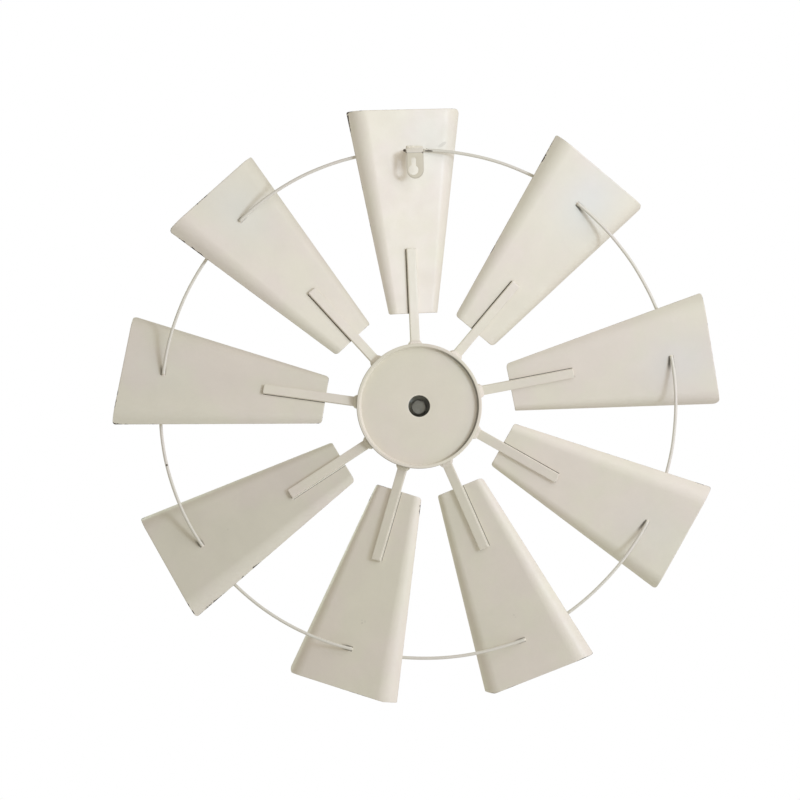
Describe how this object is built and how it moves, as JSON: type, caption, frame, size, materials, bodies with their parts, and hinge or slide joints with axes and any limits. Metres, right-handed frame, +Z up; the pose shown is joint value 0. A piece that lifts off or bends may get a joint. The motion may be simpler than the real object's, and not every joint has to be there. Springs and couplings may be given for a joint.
{
  "type": "garden windmill wheel",
  "caption": "Wall-hung garden windmill wheel: pitched sheet-steel blades welded by flat bar spokes to a drum hub, joined by a bent wire ring, with a keyhole hanger.",
  "frame": {"origin": "centre of the hanger's round keyhole opening, on the tab's wall-side face", "axes": "+Y points to the wall (the wheel's back) and -Y is the front; +Z is up as it hangs; X is level, and the hub hangs straight below the origin"},
  "size_m": [0.6094, 0.0509, 0.595],
  "materials": {
    "cream_paint": "satin, slightly orange-peeled cream paint",
    "painted_weld": "satin cream paint over rough weld beads",
    "zinc_fixings": "dull grey zinc"
  },
  "bodies": {
    "root": {"blade_1": "cream_paint", "blade_2": "cream_paint", "blade_3": "cream_paint", "blade_4": "cream_paint", "blade_5": "cream_paint", "blade_6": "cream_paint", "blade_7": "cream_paint", "blade_8": "cream_paint", "blade_9": "cream_paint", "cap_nut": "zinc_fixings", "centre_bolt": "zinc_fixings", "hanger_tab": "cream_paint", "hanger_weld": "painted_weld", "hub_back_plate": "cream_paint", "hub_band": "cream_paint", "hub_boss": "cream_paint", "hub_front_plate": "cream_paint", "hub_seam_weld": "painted_weld", "inner_washer": "zinc_fixings", "outer_washer": "zinc_fixings", "ring_welds": "painted_weld", "ring_wire_1": "cream_paint", "ring_wire_2": "cream_paint", "ring_wire_3": "cream_paint", "ring_wire_4": "cream_paint", "ring_wire_5": "cream_paint", "ring_wire_6": "cream_paint", "ring_wire_7": "cream_paint", "ring_wire_8": "cream_paint", "ring_wire_9": "cream_paint", "spoke_1": "cream_paint", "spoke_2": "cream_paint", "spoke_3": "cream_paint", "spoke_4": "cream_paint", "spoke_5": "cream_paint", "spoke_6": "cream_paint", "spoke_7": "cream_paint", "spoke_8": "cream_paint", "spoke_9": "cream_paint", "spoke_hub_welds": "painted_weld", "spoke_spot_welds": "painted_weld"}
  },
  "joints": []
}
